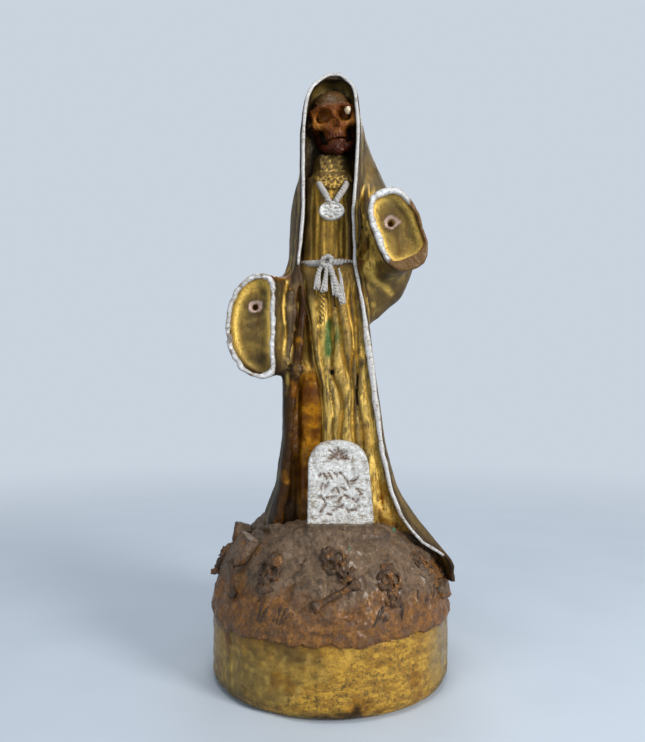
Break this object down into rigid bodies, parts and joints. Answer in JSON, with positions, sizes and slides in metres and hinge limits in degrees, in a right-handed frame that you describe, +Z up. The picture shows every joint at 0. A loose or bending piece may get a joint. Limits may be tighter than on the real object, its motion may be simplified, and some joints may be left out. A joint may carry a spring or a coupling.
{
  "type": "hooded skeleton figurine",
  "caption": "Standing hooded skeleton figurine in a long open cloak, with handless bell sleeves, rope belt and gravestone, on a bone-strewn mound and a thick round plinth.",
  "frame": {"origin": "centre of the plinth's flat underside", "axes": "+Z up along the figure, the figure faces -Y, its own left arm is on the +X side"},
  "size_m": [0.12, 0.12, 0.3],
  "materials": {
    "plinth_gold": "worn gold paint over cast resin, satin",
    "earth": "brown earth paint over cast resin, matt with glossy worn spots",
    "grave_bone": "brown wash over amber resin, semi-gloss",
    "white_paint": "white and silver paint, brushed on, chipped",
    "robe_gold": "gold paint, dirty in the folds",
    "cloak_gold": "olive-gold paint over amber resin, satin",
    "amber_bone": "bare amber resin with a pink-brown wash, glossy",
    "bead_glass": "polished pearl bead"
  },
  "bodies": {
    "root": {"plinth": "plinth_gold", "earth_mound": "earth", "grave_skulls": "grave_bone", "grave_bones": "grave_bone", "grave_ribs": "grave_bone", "grave_rocks": "earth", "gravestone": "white_paint", "gravestone_step": "earth", "skirt": "robe_gold", "bodice": "robe_gold", "rope_belt": "white_paint", "belt_knot": "white_paint", "belt_tassels": "white_paint", "lace_collar": "robe_gold", "necklace": "white_paint", "medallion": "white_paint", "skull": "amber_bone", "jaw": "amber_bone", "eye_bead": "bead_glass", "cloak": "cloak_gold", "cloak_trim": "white_paint", "right_sleeve": "cloak_gold", "left_sleeve": "cloak_gold", "right_cuff_rim": "white_paint", "left_cuff_rim": "white_paint"}
  },
  "joints": []
}
